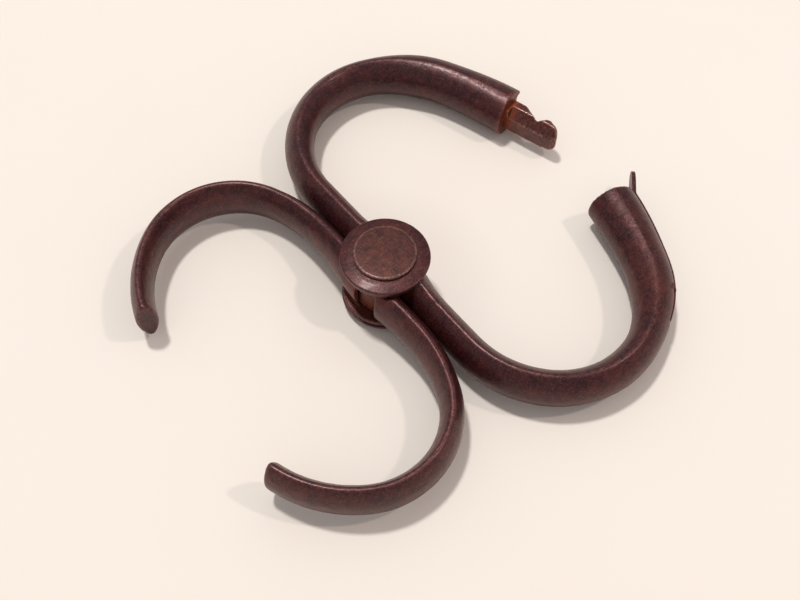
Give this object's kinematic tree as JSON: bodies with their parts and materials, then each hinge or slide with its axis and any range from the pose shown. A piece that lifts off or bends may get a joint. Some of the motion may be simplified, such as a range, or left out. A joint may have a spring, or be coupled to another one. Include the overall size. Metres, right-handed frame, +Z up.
{
  "type": "rigid scissor handcuffs",
  "caption": "Rigid figure-eight handcuffs: forged bows crossed scissor-fashion on a rivet, with a notched tongue that enters a socket arm under a sprung catch lever.",
  "frame": {"origin": "on the pivot axis at the flat face of the lower rivet collar", "axes": "+Z up the pivot axis, +X from the pivot to the locking loop, +Y to the upper locking arm"},
  "size_m": [0.1308, 0.1238, 0.021],
  "materials": {
    "browned_iron": "browned and worn, semi-gloss",
    "rubbed_iron": "rubbed flat, brown with rust tone",
    "rusted_steel": "pitted steel with light orange rust",
    "spring_steel": "dull hardened steel"
  },
  "bodies": {
    "fork": {"fork_bow": "browned_iron", "pivot_pin": "rubbed_iron", "pivot_collar": "rubbed_iron", "flange_washer_top": "browned_iron", "flange_washer_bottom": "browned_iron", "spacer_top": "spring_steel", "spacer_bottom": "spring_steel", "latch_pivot_pin": "browned_iron", "latch_spring": "spring_steel", "spring_rivet": "browned_iron"},
    "inner": {"inner_bow": "browned_iron", "tongue": "rusted_steel", "tongue_pins": "rusted_steel"},
    "latch": {"latch_lever": "browned_iron", "catch_tooth": "spring_steel"}
  },
  "joints": [
    {"name": "bow_pivot", "type": "hinge", "parent": "fork", "child": "inner", "pos_m": [0, 0, 0.0105], "axis": [0, 0, -1], "range_deg": [0, 36]},
    {"name": "latch_lift", "type": "hinge", "parent": "fork", "child": "latch", "pos_m": [0.05215, -0.04998, 0.0105], "axis": [0, 0, 1], "range_deg": [0, 3.6], "stiffness_Nm_per_rad": 0.05, "springref_deg": 11.46}
  ]
}
